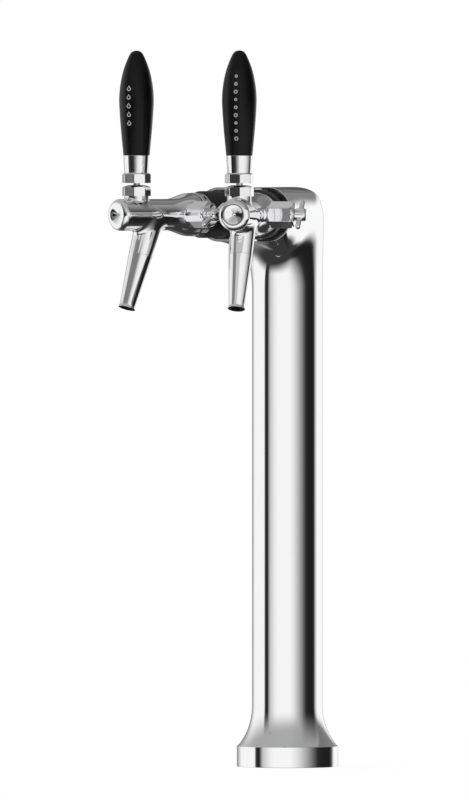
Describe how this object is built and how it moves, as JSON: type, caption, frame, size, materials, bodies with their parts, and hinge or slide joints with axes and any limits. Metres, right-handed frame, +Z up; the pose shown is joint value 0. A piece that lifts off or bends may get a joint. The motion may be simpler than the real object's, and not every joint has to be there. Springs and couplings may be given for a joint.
{
  "type": "beer tower dispenser",
  "caption": "Counter-top dispensing tower with a curved column, levers on tap bodies with down spouts, and side flow controls.",
  "frame": {"origin": "centre of the round base, in the plane of the counter top", "axes": "+Z up along the column, taps towards -Y, right-hand tap at +X as seen from the front"},
  "size_m": [0.1762, 0.27, 0.7169],
  "materials": {
    "chrome": "polished",
    "steel": "plain",
    "pipe_steel": "drawn",
    "plate_grey": "satin",
    "black_plastic": "satin",
    "grip_black": "satin gloss",
    "white_plastic": "machined",
    "rubber": "moulded"
  },
  "bodies": {
    "tower": {"tower_shell": "chrome", "mounting_ring": "steel", "ring_screws": "steel", "base_gasket": "rubber", "face_plate": "plate_grey", "plate_screws": "steel", "left_spacer": "black_plastic", "left_collar_nut": "chrome", "left_coupling_washer": "rubber", "left_shank": "steel", "left_wedge_washer": "steel", "left_shank_nut": "steel", "left_pipe_nut": "steel", "left_product_pipe": "pipe_steel", "left_tap_body": "chrome", "left_end_cap": "chrome", "left_nozzle": "chrome", "left_bonnet_nut": "chrome", "left_lever_seat": "white_plastic", "left_flow_bonnet": "chrome", "right_spacer": "black_plastic", "right_collar_nut": "chrome", "right_coupling_washer": "rubber", "right_shank": "steel", "right_wedge_washer": "steel", "right_shank_nut": "steel", "right_pipe_nut": "steel", "right_product_pipe": "pipe_steel", "right_tap_body": "chrome", "right_end_cap": "chrome", "right_nozzle": "chrome", "right_bonnet_nut": "chrome", "right_lever_seat": "white_plastic", "right_flow_bonnet": "chrome"},
    "left_lever": {"left_lever_stem": "steel", "left_lock_nut": "chrome", "left_ferrule": "chrome", "left_grip": "grip_black"},
    "left_piston": {"left_piston": "white_plastic", "left_piston_seal": "rubber"},
    "left_flow_knob": {"left_flow_spindle": "chrome", "left_flow_handle": "chrome"},
    "left_flow_cone": {"left_flow_cone": "white_plastic"},
    "right_lever": {"right_lever_stem": "steel", "right_lock_nut": "chrome", "right_ferrule": "chrome", "right_grip": "grip_black"},
    "right_piston": {"right_piston": "white_plastic", "right_piston_seal": "rubber"},
    "right_flow_knob": {"right_flow_spindle": "chrome", "right_flow_handle": "chrome"},
    "right_flow_cone": {"right_flow_cone": "white_plastic"}
  },
  "joints": [
    {"name": "left_lever_tilt", "type": "hinge", "parent": "tower", "child": "left_lever", "pos_m": [-0.06, -0.19049, 0.5723], "axis": [0.95, -0.3123, 0], "range_deg": [0, 15]},
    {"name": "left_piston_slide", "type": "slide", "parent": "tower", "child": "left_piston", "axis": [0.3123, 0.95, 0], "range_m": [0, 0.005]},
    {"name": "left_flow_turn", "type": "hinge", "parent": "tower", "child": "left_flow_knob", "pos_m": [-0.04107, -0.13292, 0.5535], "axis": [0.95, -0.3123, 0], "range_deg": [-45, 45]},
    {"name": "left_cone_slide", "type": "slide", "parent": "tower", "child": "left_flow_cone", "axis": [-0.3123, -0.95, 0], "range_m": [-0.0025, 0.0025]},
    {"name": "right_lever_tilt", "type": "hinge", "parent": "tower", "child": "right_lever", "pos_m": [0.06, -0.19049, 0.5723], "axis": [0.95, 0.3123, 0], "range_deg": [0, 15]},
    {"name": "right_piston_slide", "type": "slide", "parent": "tower", "child": "right_piston", "axis": [-0.3123, 0.95, 0], "range_m": [0, 0.005]},
    {"name": "right_flow_turn", "type": "hinge", "parent": "tower", "child": "right_flow_knob", "pos_m": [0.04107, -0.13292, 0.5535], "axis": [0.95, 0.3123, 0], "range_deg": [-45, 45]},
    {"name": "right_cone_slide", "type": "slide", "parent": "tower", "child": "right_flow_cone", "axis": [0.3123, -0.95, 0], "range_m": [-0.0025, 0.0025]}
  ],
  "couplings": [
    {"joint": "left_piston_slide", "follows": "left_lever_tilt", "m_per_rad": 0.0188},
    {"joint": "left_cone_slide", "follows": "left_flow_turn", "m_per_rad": 0.003151},
    {"joint": "right_piston_slide", "follows": "right_lever_tilt", "m_per_rad": 0.0188},
    {"joint": "right_cone_slide", "follows": "right_flow_turn", "m_per_rad": 0.003151}
  ]
}
